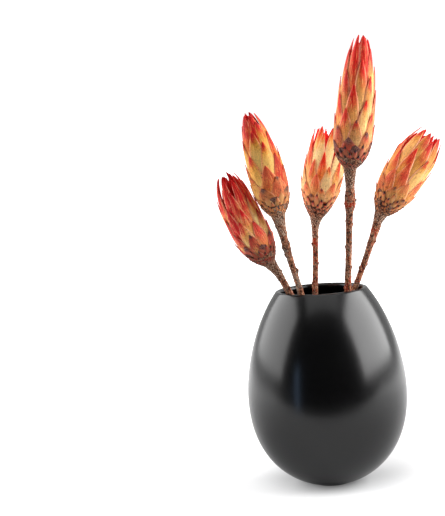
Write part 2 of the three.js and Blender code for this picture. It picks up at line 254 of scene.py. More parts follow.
# Colours that the flowers share, and those of the vase and floor, as 8-bit sRGB
COLOURS = dict(
    bract_edge=(255, 216, 182), bract_speck=(128, 50, 32), bract_inside=(218, 8, 6),
    dry_dark=(62, 44, 44), dry_pale=(132, 96, 86),
    root_red=(190, 50, 26), root_orange=(222, 110, 60),
    scale_brown=(150, 106, 84), scale_tan=(234, 200, 172), scale_edge=(240, 196, 150),
    # the dark line round the scales is partly their brown edges, partly painted shade in the gaps between
    # them
    scale_speck=(116, 46, 32), low_point=(64, 36, 30), high_point=(50, 40, 42), scale_edge_and_gap_shade=(58, 24, 18),
    bark_dark=(62, 34, 24), bark_brown=(166, 106, 76), bark_grey=(150, 136, 122), bark_red=(188, 58, 26),
    bark_orange=(226, 138, 78), bark_grain=(206, 160, 130), bark_scar=(44, 28, 24), bark_crack=(30, 18, 14),
    glaze_dark=(5, 5, 6), glaze_cloud=(9, 9, 10),
    floor_dark=(204, 204, 205), floor_pale=(208, 208, 208),
)

# Camera: looks a little down from the front, with the slight roll and off-centre frame of the photograph
CAMERA_PLACE = (0.0, -1.3, 0.34405)
CAMERA_TARGET = (0.0, 0.0, 0.20233)
CAMERA_ROLL = math.radians(3.54)
CAMERA_LENS = 103.09
CAMERA_SENSOR = 36
PHOTO_HEIGHT = 516
OFF_CENTRE = -96.8

# Floor: it ends just in front of the frame, as the top of a studio table does, so the glaze mirrors the
# dark room there. Only the camera sees a painted glow on it, left out in an ellipse round and behind
# the vase's foot, which paints the vase's shadow there.
FLOOR_REACH = 14.0
FLOOR_FRONT = -0.3
FLOOR_ROWS_BACK = 31
FLOOR_COLUMNS = 41
SHADE_PLACE = (-0.015, -0.046, 0.0)
SHADE_SCALE = (1.0, 0.77, 1.0)
SHADE_INNER = 0.035
SHADE_OUTER = 0.105
NEAR_GLOW = 0.47

# Lights: wide soft ones at both sides and above, and a narrow bluish window low at the front left
LIGHTS = [
    dict(name="soft_left", place=(-1.28, 0.23, 0.8), target=(0, 0, 0.2), size=(1.9, 1.2), power=24),
    dict(name="soft_right", place=(1.3, -0.05, 0.8), target=(0, 0, 0.2), size=(1.9, 1.2), power=45),
    dict(name="soft_top", place=(0, -0.4, 2.2), target=(0, 0, 0), size=(2.2, 2.2), power=17),
    dict(
        name="window", place=(-1.07, -1.14, 0.12), target=(0, 0, 0.1), size=(0.15, 0.75), power=0.65,
        colour=(0.45, 0.65, 1.0),
    ),
]

# Brightness of the room from front to back, and of the white background
ROOM_FRONT = 0.03
ROOM_BACK = 0.6
BACKGROUND = 1.1


def draw(index, salt):
    """A repeatable draw between 0 and 1."""
    value = np.sin(np.asarray(index) * 12.9898 + salt * 78.233) * 43758.5453
    return value - np.floor(value)


def unit(vectors):
    """Vectors of length one."""
    return vectors / np.linalg.norm(vectors, axis=-1, keepdims=True)


def across(axis):
    """Two directions across an axis, the first to the right of it as seen from the front."""
    right = unit(np.cross([0.0, 1.0, 0.0], axis))
    return right, np.cross(axis, right)


def around(middle, right, back, angle, radius):
    """Points at an angle and radius about a middle."""
    sideways = (radius * np.cos(angle))[..., None] * right
    return middle + sideways + (radius * np.sin(angle))[..., None] * back


def hump(offset, reach):
    """A smooth hump of height 1 that fades with the offset from its middle."""
    return np.exp(-((offset / reach) ** 2))


def round_angles(count):
    """Angles of points evenly round a circle."""
    return np.arange(count) * 2 * math.pi / count


def new_object(name, data):
    """An object made of its data, in the scene."""
    made = bpy.data.objects.new(name, data)
    bpy.context.scene.collection.objects.link(made)
    return made


# Meshes
def grid_faces(rows, columns, closed):
    """Quads of a grid of points, wound so that columns cross rows give the outward side."""
    faces = []
    for j in range(rows - 1):
        this_row = j * columns
        next_row = this_row + columns
        for k in range(columns if closed else columns - 1):
            after = (k + 1) % columns
            faces.append((this_row + k, this_row + after, next_row + after, next_row + k))
    return np.array(faces)


def blade_faces(rows, columns):
    """Quads of a thin closed blade: an outer grid, an inner grid and the strip round their edge."""
    count = rows * columns
    outer = grid_faces(rows, columns, False)
    inner = outer[:, ::-1] + count
    rim = [(0, k) for k in range(columns)]
    rim += [(j, columns - 1) for j in range(1, rows)]
    rim += [(rows - 1, k) for k in range(columns - 2, -1, -1)]
    rim += [(j, 0) for j in range(rows - 2, 0, -1)]
    loop = [j * columns + k for j, k in rim]
    strip = [(b, a, a + count, b + count) for a, b in zip(loop, loop[1:] + loop[:1])]
    return np.concatenate([outer, inner, np.array(strip)])


def blades(outer, inner, values, material):
    """A part of many closed blades. outer and inner hold each blade's grid of points."""
    count, rows, columns, _ = outer.shape
    points = np.concatenate([outer.reshape(count, -1, 3), inner.reshape(count, -1, 3)], axis=1)
    offsets = np.arange(count)[:, None, None] * (2 * rows * columns)
    faces = blade_faces(rows, columns) + offsets
    doubled = {}
    for key, value in values.items():
        one_side = np.broadcast_to(value, (count, rows, columns)).reshape(count, -1)
        doubled[key] = np.concatenate([one_side, one_side], axis=1).ravel()
    side = np.concatenate([np.zeros(rows * columns), np.ones(rows * columns)])
    doubled["inside"] = np.tile(side, count)
    return dict(points=points.reshape(-1, 3), faces=faces.reshape(-1, 4), values=doubled, material=material)


def tube(rings, values, material):
    """A part through closed rings of points, shut at both ends by a fan of thin quads."""
    rows, columns, _ = rings.shape
    caps = [ring.mean(axis=0) * (1 - FAN_CENTRE) + ring * FAN_CENTRE for ring in (rings[0], rings[-1])]
    points = np.concatenate([caps[0][None], rings, caps[1][None]])
    full = {}
    for key, value in values.items():
        value = np.broadcast_to(value, (rows, columns))
        full[key] = np.concatenate([value[:1], value, value[-1:]]).ravel()
    faces = grid_faces(rows + 2, columns, True)
    return dict(points=points.reshape(-1, 3), faces=faces, values=full, material=material)


def add_piece(name, parts, node):
    """One object from its parts, each with its own material, standing for a node of the model."""
    keys = sorted({key for part in parts for key in part["values"]})
    points = np.concatenate([part["points"] for part in parts])
    starts = np.cumsum([0] + [len(part["points"]) for part in parts[:-1]])
    faces = np.concatenate([part["faces"] + start for part, start in zip(parts, starts)])
    mesh = bpy.data.meshes.new(name)
    mesh.from_pydata((points * MM).tolist(), [], faces.tolist())
    for key in keys:
        columns = [part["values"].get(key, np.zeros(len(part["points"]))) for part in parts]
        attribute = mesh.attributes.new(key, "FLOAT", "POINT")
        attribute.data.foreach_set("value", np.concatenate(columns).astype(np.float32))
    for part in parts:
        mesh.materials.append(part["material"])
    indices = [np.full(len(part["faces"]), number) for number, part in enumerate(parts)]
    mesh.polygons.foreach_set("material_index", np.concatenate(indices).astype(np.int32))
    mesh.polygons.foreach_set("use_smooth", np.ones(len(faces), dtype=bool))
    mesh.update()
    piece = new_object(name, mesh)
    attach(piece, "root")
    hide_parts(node)


# Material nodes
def linear(colour):
    """8-bit sRGB to the linear colour that a shader takes."""
    parts = [c / 255 for c in colour]
    return tuple(p / 12.92 if p <= 0.04045 else ((p + 0.055) / 1.055) ** 2.4 for p in parts) + (1.0,)


def shared(key):
    """A shared colour as a shader takes it."""
    return linear(COLOURS[key])


class Shader:
    """The nodes of a material or a world, with short names for those used most."""

    def __init__(self, owner, surface):
        owner.use_nodes = True
        self.owner = owner
        self.tree = owner.node_tree
        self.surface = self.tree.nodes[surface]

    def add(self, kind, inputs, **settings):
        """A node of a kind, with its settings and its inputs set or linked."""
        made = self.tree.nodes.new(kind)
        for key, value in settings.items():
            setattr(made, key, value)
        for key, value in inputs.items():
            if isinstance(value, bpy.types.NodeSocket):
                self.tree.links.new(value, made.inputs[key])
            else:
                made.inputs[key].default_value = value
        return made

    def attribute(self, name):
        return self.add("ShaderNodeAttribute", {}, attribute_name=name).outputs["Fac"]

    def position(self):
        return self.add("ShaderNodeTexCoord", {}).outputs["Object"]

    def mapped(self, vector, location=(0.0, 0.0, 0.0), scale=(1.0, 1.0, 1.0)):
        inputs = {"Vector": vector, "Location": location, "Scale": scale}
        return self.add("ShaderNodeMapping", inputs).outputs[0]

    def seen(self):
        """1 where the camera looks straight at the surface, 0 in reflections and bounced light."""
        return self.add("ShaderNodeLightPath", {}).outputs["Is Camera Ray"]

    def distance(self, vector):
        return self.add("ShaderNodeVectorMath", {0: vector}, operation="LENGTH").outputs["Value"]

    def math(self, operation, a, b=0.0, c=0.0):
        return self.add("ShaderNodeMath", {0: a, 1: b, 2: c}, operation=operation).outputs[0]

    def times(self, a, b):
        return self.math("MULTIPLY", a, b)

    def times_plus(self, a, b, c):
        return self.math("MULTIPLY_ADD", a, b, c)

    def span(self, value, low, high, to_low=0.0, to_high=1.0):
        """Smooth step of a value from low to high."""
        inputs = {"Value": value, "From Min": low, "From Max": high, "To Min": to_low, "To Max": to_high}
        return self.add("ShaderNodeMapRange", inputs, interpolation_type="SMOOTHSTEP").outputs[0]

    def mix(self, factor, a, b, blend="MIX"):
        made = self.add("ShaderNodeMix", {0: factor, 6: a, 7: b}, data_type="RGBA", blend_type=blend)
        return made.outputs[2]

    def noise(self, scale, detail=2.0, roughness=0.6, at=None):
        """Noise at the position on the piece, or at another vector."""
        vector = self.position() if at is None else at
        inputs = {"Vector": vector, "Scale": scale, "Detail": detail, "Roughness": roughness}
        return self.add("ShaderNodeTexNoise", inputs).outputs["Fac"]

    def vector(self, x, y, z):
        return self.add("ShaderNodeCombineXYZ", {0: x, 1: y, 2: z}).outputs[0]

    def ramp(self, factor, stops):
        made = self.add("ShaderNodeValToRGB", {0: factor})
        elements = made.color_ramp.elements
        while len(elements) < len(stops):
            elements.new(0.5)
        for element, (place, colour) in zip(elements, stops):
            element.position = place
            element.color = colour
        return made.outputs[0]

    def bump(self, height, strength, distance):
        inputs = {"Height": height, "Strength": strength, "Distance": distance}
        return self.add("ShaderNodeBump", inputs).outputs[0]

    def finish(self, **inputs):
        """The material or world, with inputs of its surface set or linked."""
        for key, value in inputs.items():
            socket = self.surface.inputs[key.replace("_", " ")]
            if isinstance(value, bpy.types.NodeSocket):
                self.tree.links.new(value, socket)
            else:
                socket.default_value = value
        return self.owner


def new_material(name):
    return Shader(bpy.data.materials.new(name), "Principled BSDF")


def glaze_material():
    """Satin black glaze with a faint cloudiness."""
    shader = new_material("satin_black_glaze")
    cloud = shader.noise(28.0, detail=3.0, roughness=0.5)
    return shader.finish(
        Base_Color=shader.mix(cloud, shared("glaze_dark"), shared("glaze_cloud")),
        Roughness=shader.span(cloud, 0.3, 0.7, 0.21, 0.25),
        Normal=shader.bump(cloud, 0.03, 0.0002),
    )


def bract_material(name):
    """Papery bract: a red streak from the tip that fades to gold, pale margins, fine veins, a dry tip."""
    shader = new_material("bract_" + name)
    own = {key: linear(colour) for key, colour in HEAD_COLOURS[name].items()}
    from_tip = shader.attribute("from_tip")
    sideways = shader.attribute("across")
    number = shader.attribute("number")
    climb = shader.attribute("climb")
    edge = shader.math("ABSOLUTE", sideways)

    # Each bract has its own veins, which run along it
    rib_number = shader.times_plus(number, 40.0, sideways)
    vein_place = shader.vector(rib_number, shader.times(from_tip, 0.02), shader.times(number, 17.0))
    veins = shader.noise(5.5, detail=4.0, roughness=0.65, at=vein_place)
    patches = shader.noise(130.0, detail=4.0)
    specks = shader.noise(620.0, detail=3.0)
    mottle = shader.noise(900.0)

    # Distance from the tip as a share of the red streak, which is widest along the midrib
    ragged = shader.times_plus(veins, 14.0, shader.times_plus(patches, 14.0, -14.0))
    streak = shader.math("DIVIDE", shader.math("ADD", from_tip, ragged), shader.attribute("reach"))
    beside = shader.math("POWER", shader.attribute("beside"), 2.0)
    streak = shader.times_plus(beside, 0.5, streak)
    stops = [(stop, own[key]) for key, stop in STREAK_PLACES.items()]
    body = shader.ramp(shader.math("DIVIDE", streak, 3.0), stops)
    light_veins = shader.times(shader.span(veins, 0.52, 0.7), shader.span(from_tip, 2.0, 10.0, 0.0, 0.55))
    body = shader.mix(light_veins, body, own["pale"])
    at_margin = shader.times(shader.span(edge, 0.55, 0.95), shader.span(from_tip, 0.5, 8.0, 0.1, 0.5))
    body = shader.mix(at_margin, body, own["margin"])
    below_tip = shader.span(from_tip, 2.0, 8.0, 0.0, PALE_EDGE[name])
    thin_edge = shader.times(shader.span(edge, 0.84, 0.96), below_tip)
    body = shader.mix(thin_edge, body, shared("bract_edge"))
    body = shader.mix(shader.attribute("inner"), body, own["inner"])

    # Low on the head the bracts are drier: the colour of the cup, brown specks and a dry grey point
    aged = shader.times(shader.attribute("low"), shader.span(patches, 0.3, 0.6, 0.5, 0.9))
    body = shader.mix(aged, body, own["cup"])
    speckled = shader.times(shader.span(specks, 0.56, 0.66), shader.span(climb, 0.9, 0.1, 0.3, 0.65))
    body = shader.mix(speckled, body, shared("bract_speck"))
    beyond = shader.times_plus(edge, 2.4, from_tip)
    blurred = shader.times_plus(specks, 3.0, shader.math("SUBTRACT", beyond, 1.5))
    dry = shader.span(shader.math("DIVIDE", blurred, shader.attribute("point")), 1.0, 0.4)
    withered = shader.mix(shader.span(mottle, 0.4, 0.6), shared("dry_dark"), shared("dry_pale"))
    body = shader.mix(shader.times(dry, 0.9), body, withered)

    # The side that faces the core is red, and each bract is a little lighter or darker than the next
    red_inside = shader.times(shader.attribute("inside"), shader.span(from_tip, 26.0, 12.0, 0.35, 0.95))
    body = shader.mix(red_inside, body, shared("bract_inside"))
    shade = shader.span(shader.times_plus(mottle, 0.8, veins), 0.6, 1.2, 0.8, 1.2)
    shade = shader.times(shade, shader.span(number, 0.0, 1.0, 0.88, 1.12))
    body = shader.mix(1.0, body, shader.vector(shade, shade, shade), "MULTIPLY")
    return shader.finish(
        Base_Color=body,
        Roughness=shader.span(veins, 0.3, 0.7, 0.5, 0.62),
        Specular_IOR_Level=0.15,
        Normal=shader.bump(veins, 0.3, 0.0004),
    )


def scale_material(name):
    """Scale of the cup: a grey-brown dry point, a red blush below it and a tan base with pale edges."""
    shader = new_material("cup_scale_" + name)
    own = {key: linear(colour) for key, colour in HEAD_COLOURS[name].items()}
    from_tip = shader.attribute("from_tip")
    edge = shader.math("ABSOLUTE", shader.attribute("across"))
    number = shader.attribute("number")
    place = shader.attribute("place")
    patches = shader.noise(300.0, detail=4.0)
    specks = shader.noise(900.0, detail=3.0)

    # Mottled brown scales on the stem turn into the head's colours up the cup
    low = shader.mix(shader.span(specks, 0.42, 0.58), shared("scale_brown"), shared("scale_tan"))
    blush = shader.times(shader.span(from_tip, 7.0, 2.0), shader.span(place, 0.0, 14.0, 0.3, 1.0))
    high = shader.mix(blush, own["cup"], own["blush"])
    body = shader.mix(shader.span(place, -1.0, 8.0), low, high)
    pale = shader.times(shader.span(edge, 0.6, 0.9), shader.span(place, 6.0, 20.0, 0.0, 0.6))
    body = shader.mix(pale, body, shared("scale_edge"))
    speckled = shader.times(shader.span(specks, 0.58, 0.7), 0.5)
    body = shader.mix(speckled, body, shared("scale_speck"))

    # A dark point, sharper on the large scales, and a dark line round the small ones, partly their brown
    # edge and partly painted shade in the gaps between scales
    sharpness = shader.span(place, 4.0, 20.0, 0.0, 2.0)
    beyond = shader.times_plus(edge, sharpness, from_tip)
    point = shader.span(shader.math("DIVIDE", beyond, shader.attribute("point")), 1.1, 0.8)
    dark = shader.mix(shader.span(place, -4.0, 8.0), shared("low_point"), shared("high_point"))
    body = shader.mix(shader.times(point, shader.span(number, 0.0, 0.25, 0.8, 0.97)), body, dark)
    outline_and_gap_shade = shader.span(place, 10.0, -4.0, SCALE_LINES_AND_GAP_SHADE[name], 0.97)
    rim = shader.times(shader.span(edge, 0.55, 0.8), outline_and_gap_shade)
    body = shader.mix(rim, body, shared("scale_edge_and_gap_shade"))
    return shader.finish(
        Base_Color=body,
        Roughness=0.72,
        Specular_IOR_Level=0.25,
        Normal=shader.bump(patches, 0.35, 0.0003),
    )


def bark_material(name):
    """Dry bark: dark brown fibres, grey weathered skin and red flecks where it has flaked."""
    shader = new_material("bark_" + name)
    place = shader.position()
    stretched = shader.mapped(place, scale=(1.0, 1.0, 0.5))
    moved = shader.mapped(place, location=(3.0, 5.0, 7.0), scale=(1.0, 1.0, 0.7))
    fibres = shader.noise(430.0, detail=4.0, roughness=0.65, at=stretched)
    skin = shader.noise(230.0, detail=3.0, at=stretched)
    flecks = shader.noise(420.0, detail=3.0, at=moved)
    grains = shader.noise(760.0)
    flaked = shader.attribute("flaked")
    body = shader.mix(shader.span(fibres, 0.4, 0.58), shared("bark_dark"), shared("bark_brown"))
    grey = shader.times(shader.span(skin, 0.48, 0.58), BARK_GREYNESS[name])
    body = shader.mix(grey, body, shared("bark_grey"))
    bare = shader.times_plus(shader.span(flaked, 0.6, 1.0), 0.06, flecks)
    red = shader.times(shader.span(bare, 0.52, 0.58), flaked)
    body = shader.mix(red, body, shared("bark_red"))
    orange = shader.times(shader.span(flecks, 0.43, 0.36), shader.times(flaked, 0.8))
    body = shader.mix(orange, body, shared("bark_orange"))
    light = shader.times(shader.span(grains, 0.55, 0.62), 0.75)
    body = shader.mix(light, body, shared("bark_grain"))
    body = shader.mix(shader.times(shader.attribute("scar"), 0.6), body, shared("bark_scar"))
    cracks = shader.times(shader.span(grains, 0.46, 0.4), 0.8)
    body = shader.mix(cracks, body, shared("bark_crack"))
    return shader.finish(
        Base_Color=body,
        Roughness=0.85,
        Specular_IOR_Level=0.2,
        Normal=shader.bump(shader.times_plus(flecks, 0.6, fibres), 0.8, 0.0006),
    )


def core_material(name):
    """Red-orange roots of the bracts, which show in the gaps between them."""
    shader = new_material("bract_root_" + name)
    patches = shader.noise(300.0, detail=3.0, roughness=0.5)
    body = shader.mix(patches, shared("root_red"), shared("root_orange"))
    return shader.finish(Base_Color=body, Roughness=0.8, Normal=shader.bump(patches, 0.3, 0.0004))


# Vase
def vase_radius(z):
    """Outer radius of the vase at a height."""
    below = np.clip((GIRTH_HEIGHT - z) / BELOW_GIRTH, 0, 1)
    above = np.clip((z - GIRTH_HEIGHT) / ABOVE_GIRTH, 0, 1)
    lower = np.sqrt(1 - below**LOWER_FULLNESS)
    upper = (1 - above**UPPER_FULLNESS) ** SHOULDER
    return GIRTH_RADIUS * np.where(z < GIRTH_HEIGHT, lower, upper)


def vase_normal(z):
    """Outward direction of the vase's side at a height, across and up."""
    step = 0.01
    slope = (vase_radius(z + step) - vase_radius(z - step)) / (2 * step)
    size = np.hypot(1, slope)
    return 1 / size, -slope / size


def vase_profile():
    """Half section: out along the foot, up the outside, over the lip, down the inside."""
    fall = np.cos(np.linspace(0, math.pi / 2, LOWER_ROWS))[:-1]
    lower = GIRTH_HEIGHT - (GIRTH_HEIGHT - FOOT_EDGE) * fall
    swing = 0.4 * math.pi
    climb = np.sin(swing * np.linspace(0, 1, UPPER_ROWS)) / math.sin(swing)
    upper = GIRTH_HEIGHT + (LIP_START - GIRTH_HEIGHT) * climb
    heights = np.concatenate([lower, upper])
    radial, up = vase_normal(heights)
    outside = np.stack([vase_radius(heights), heights], axis=1)
    inside = (outside - WALL * np.stack([radial, up], axis=1))[::-1]
    half = WALL / 2
    middle = outside[-1] - half * np.array([radial[-1], up[-1]])
    start = math.atan2(up[-1], radial[-1])
    turns = start + np.linspace(0, math.pi, LIP_ROWS)[1:-1]
    lip = middle + half * np.stack([np.cos(turns), np.sin(turns)], axis=1)

    # The foot turns up into the outside through a small round edge
    edge_width = outside[0][0] - FOOT_RADIUS
    sweep = np.linspace(0, math.pi / 2, EDGE_ROWS)[:-1]
    rounded = np.stack([FOOT_RADIUS + edge_width * np.sin(sweep), FOOT_EDGE * (1 - np.cos(sweep))], axis=1)
    foot_radii = np.linspace(CENTRE, FOOT_RADIUS, FOOT_ROWS)[:-1]
    foot = np.stack([foot_radii, np.zeros(len(foot_radii))], axis=1)
    floor_radii = np.linspace(inside[-1][0], CENTRE, FLOOR_ROWS)[1:]
    floor = np.stack([floor_radii, np.full(len(floor_radii), inside[-1][1])], axis=1)
    return np.concatenate([foot, rounded, outside, lip, inside, floor])


def make_vase():
    radius, height = vase_profile().T[:, :, None]
    angles = round_angles(VASE_SIDES)
    rings = np.stack([radius * np.cos(angles), radius * np.sin(angles), height + 0 * angles], axis=2)
    add_piece("ceramic_vase", [tube(rings, {}, glaze_material())], "vase")


# Flowers
class Head:
    """The frame of a flower head: its axis with a slight bow, and its outline."""

    def __init__(self, flower):
        self.flower = flower
        self.neck = np.array(flower["neck"][:3], dtype=float)
        self.bow = np.array(flower["bow"], dtype=float)
        reach = np.array(flower["tip"]) - self.neck
        self.length = np.linalg.norm(reach)
        self.axis = reach / self.length
        self.right, self.back = across(self.axis)
        self.core_top = self.length - max(flower["open"], BUD_TIP)

    def middle(self, height):
        """Points of the bowed axis at heights above the neck."""
        share = (height / self.length)[..., None]
        return self.neck + self.axis * height[..., None] + self.bow * 4 * share * (1 - share)

    def point(self, height, angle, radius):
        return around(self.middle(height), self.right, self.back, angle, radius)

    def radius(self, height):
        """Radius of the outline at heights above the neck."""
        shape = self.flower["outline"]
        opened = np.clip(height / shape["rise"], 0, 1)
        radius = shape["neck"] + (shape["belly"] - shape["neck"]) * (1 - (1 - opened) ** CUP_FULLNESS)
        closing = (height - shape["belly_at"]) / (shape["close_at"] - shape["belly_at"])
        share = np.clip(closing, 0, MOST_CLOSED)
        return radius * (1 - share ** shape["fullness"]) ** CLOSING_POWER


def bract_list(head):
    """Angle, height and size of every bract of a head, from the lowest to the innermost."""
    flower = head.flower
    index = np.arange(flower["bracts"])
    outer = flower["bracts"] - flower["inner"]
    inside = index >= outer
    climb = np.minimum(index / (outer - 1), 1)
    depth = np.where(inside, (index - outer) / max(flower["inner"], 1), 0)
    jitter = ANGLE_JITTER * (draw(index, flower["seed"] + 40) - 0.5)
    angle = flower["hand"] * index * GOLDEN_ANGLE + flower["turn"] + jitter

    # Heights of the tips and roots above the neck
    uneven = UNEVENNESS * (draw(index, flower["seed"] + 60) - 0.5) * climb
    lowest = CUP_LENGTH + FIRST_TIP
    highest = head.length + flower["crown"]
    level = np.minimum(lowest + (highest - lowest) * climb ** flower["crowding"], head.length)
    tip = level + uneven - INNER_SINK * depth
    length = flower["length"] * (0.45 + 0.55 * np.minimum(climb * 2.5, 1))
    root = np.maximum(CUP_LENGTH + NODE_GAP / 2 + 0.4, np.minimum(tip - length, head.core_top - 5))
    width = flower["width"] * (0.8 + 0.35 * np.sin(math.pi * np.minimum(climb * 1.15, 1)))
    return dict(
        number=draw(index, flower["seed"] + 80),
        index=index,
        angle=angle,
        tip=tip,
        root=root,
        climb=climb,
        width=np.where(inside, 0.75 * width, width),
        spread=np.where(inside, 0.78 - 0.5 * depth, 1),
        inner=inside.astype(float),
    )


def make_bracts(head, material):
    """Keeled blades from their roots in the core to their pointed tips."""
    flower = head.flower
    bracts = {key: value[:, None, None] for key, value in bract_list(head).items()}
    seed = flower["seed"]
    index = bracts["index"]
    climb = bracts["climb"]
    along = 1 - (1 - np.linspace(0, 1, BRACT_ROWS)[None, :, None]) ** 1.25
    sideways = np.linspace(-1, 1, BRACT_COLUMNS)[None, None, :]
    off_rib = np.abs(sideways)
    span = bracts["tip"] - bracts["root"]
    height = bracts["root"] + span * along
    from_tip = span * (1 - along)
    outline = head.radius(height)

    # Share of the full width, with blunter points high on the head
    high = np.clip((climb - 0.7) / 0.2, 0, 1)
    narrowing = np.clip((1 - along) / (BRACT_TAPER - 0.15 * high), 0, 1)
    share = np.sin(narrowing * math.pi / 2) ** (0.95 - 0.3 * high)
    share = share * (1 - 0.2 * np.clip(1 - along / ROOT_TAPER, 0, 1) ** 2)
    share = np.maximum(share, POINT_SHARE)

    # How far a blade turns round the head to its edges, and leans to one side
    rounded = np.maximum(outline * bracts["spread"], 2.5)
    bend = np.maximum(rounded, TIGHTEST_BEND)
    turn = sideways * np.minimum(bracts["width"] * share / (2 * bend), 1.1)
    lean = TIP_LEAN * (draw(index, seed + 95) - 0.5) * along**2 / rounded

    # Keel down the middle, edges drawn in, a slight wave, and tips that flare, more so on an open head
    drawn_in = KEEL * (0.55 + 0.7 * draw(index, seed + 97)) * off_rib**2 * np.minimum(share * 1.3, 1)
    wave = EDGE_WAVE * np.sin(9 * along + 6.3 * draw(index, seed + 99) + 2 * sideways) * off_rib**3
    midrib = MIDRIB * hump(sideways, MIDRIB_WIDTH) * along * (1 - along**6)
    tucked = ROOT_TUCK * np.exp(-((height - CUP_LENGTH) / 3.5))
    looseness = 0.4 if flower["open"] else 0.25
    flare = (0.3 if flower["open"] else 0.05) + looseness * (draw(index, seed + 90) - 0.3)
    stand = TIP_STAND - SINK_RATE * from_tip + flare * along**3
    radius = (outline + stand) * bracts["spread"] - drawn_in + wave + midrib - tucked
    thickness = (BLADE - 0.3 * off_rib**2) * (1 - 0.25 * along)

    def surface(radius):
        """Points at a radius on the midrib, from where the blade bends less than the head does."""
        outward = np.maximum(radius, 0.4) - bend * (1 - np.cos(turn))
        aside = bend * np.sin(turn)
        angle = bracts["angle"] + lean + np.arctan2(aside, np.maximum(outward, 0.2))
        return head.point(height, angle, np.hypot(outward, aside))

    # For the colours: how dry a bract is, and how far its dry point and its red reach
    low = np.clip((LOW_BRACTS_END - bracts["tip"]) / LOW_BRACTS_FADE, 0, 1)
    dry_point = np.maximum(7.5 * low - 0.5, 6 * (draw(index, seed + 74) - 0.72))
    reddest = 0.0
    if "red_side" in flower:
        facing = np.cos(bracts["angle"] - flower["red_side"])
        reddest = 0.85 * (climb > 0.82) * np.clip((facing - 0.3) / 0.3, 0, 1)
    red_reach = RED_REACH[flower["name"]] * (0.55 + 0.45 * np.minimum(4 * climb, 1))
    redder = 0.4 + 0.3 * climb**2 + 0.6 * climb**8 + 2.4 * draw(index, seed + 70) ** 2
    values = dict(
        from_tip=from_tip,
        across=sideways,
        number=bracts["number"],
        climb=climb,
        low=low,
        inner=np.maximum(0.9 * bracts["inner"], reddest),
        point=(DRY_POINTS[flower["name"]] * dry_point).clip(0.02),
        reach=red_reach * redder,
        beside=np.abs(sideways - 0.6 * (draw(index, seed + 72) - 0.5)),
    )
    return blades(surface(radius), surface(radius - thickness), values, material)


def make_core(head, material):
    """Slim core that the bracts stand out of."""
    height = np.linspace(CUP_LENGTH + NODE_GAP / 2, head.core_top, CORE_ROWS)
    rounded = np.sqrt(np.clip((head.core_top + 0.5 - height) / CORE_ROUNDING, 0.02, 1))
    radius = (head.radius(height) - CORE_DEPTH) * rounded
    rings = head.point(height[:, None], round_angles(CORE_SIDES)[None, :], radius[:, None])
    return tube(rings, {}, material)


class Spine:
    """Centre line from the rim of the vase up the stem and through the cup.
    Places on it are distances along it from the neck, below it negative."""

    def __init__(self, head):
        flower = head.flower
        points = [np.array(p, dtype=float) for p in (*flower["stem"], flower["neck"])]
        steps = np.linspace(0, len(points) - 1, 40 * (len(points) - 1) + 1)
        curve = np.array([self.along(points, t) for t in steps])
        runs = np.linalg.norm(np.diff(curve[:, :3], axis=0), axis=1)
        places = np.concatenate([[0], np.cumsum(runs)]) - runs.sum()
        up = np.linspace(0.5, SCALE_PLACES[-1] + 2, 40)
        above = np.concatenate([head.middle(up), (head.radius(up) - 0.5)[:, None]], axis=1)
        self.places = np.concatenate([places, up])
        self.curve = np.concatenate([curve, above])
        self.start = places[0]

    @staticmethod
    def along(points, t):
        """Point of a smooth curve through four-number points, t counts the points passed."""
        i = min(int(t), len(points) - 2)
        s = t - i
        a, b, c, d = [points[max(0, min(len(points) - 1, n))] for n in range(i - 1, i + 3)]
        return b + 0.5 * s * (c - a + s * (2 * a - 5 * b + 4 * c - d + s * (3 * (b - c) + d - a)))

    def read(self, place):
        """Middle and radius at places along the line, as four numbers."""
        return np.stack([np.interp(place, self.places, self.curve[:, n]) for n in range(4)], axis=-1)

    def at(self, place):
        """Middle, right, back and radius at places along the line."""
        here = self.read(place)
        ahead = self.read(np.minimum(place + 1.5, self.places[-1]))
        behind = self.read(np.maximum(place - 1.5, self.places[0]))
        right, back = across(unit(ahead[..., :3] - behind[..., :3]))
        return here[..., :3], right, back, here[..., 3]


def ripples(angle, place, seed, terms, turns, pitch):
    """Smooth bumps that close round the stem: a sum of waves round and along it."""
    total = 0
    for k in range(terms):
        around_count = 1 + math.floor(turns * draw(k, seed + 1))
        along_rate = 2 * math.pi / (pitch * (0.6 + draw(k, seed + 2)))
        total = total + np.sin(around_count * angle + along_rate * place + 6.3 * draw(k, seed + 3))
    return total / math.sqrt(terms)


def leaf_scars(spine, seed, angles, places, radii):
    """Heights of small raised scars up the stem, each a golden angle on from the last."""
    scars = np.zeros(np.broadcast_shapes(angles.shape, places.shape))
    for k in range(int(-spine.start / SCAR_SPACING) + 2):
        centre = spine.start - 4 + SCAR_SPACING * k + 3 * draw(k, seed + 50)
        if centre > LAST_SCAR:
            break
        facing = k * GOLDEN_ANGLE + draw(k, seed + 51)
        away = np.angle(np.exp(1j * (angles - facing))) * radii
        above = (places - centre) / np.where(places > centre, SCAR_ABOVE, SCAR_BELOW)
        size = 0.55 + 0.6 * draw(k, seed + 52)
        scars = np.maximum(scars, size * hump(away, SCAR_WIDTH) * hump(above, 1))
    return scars


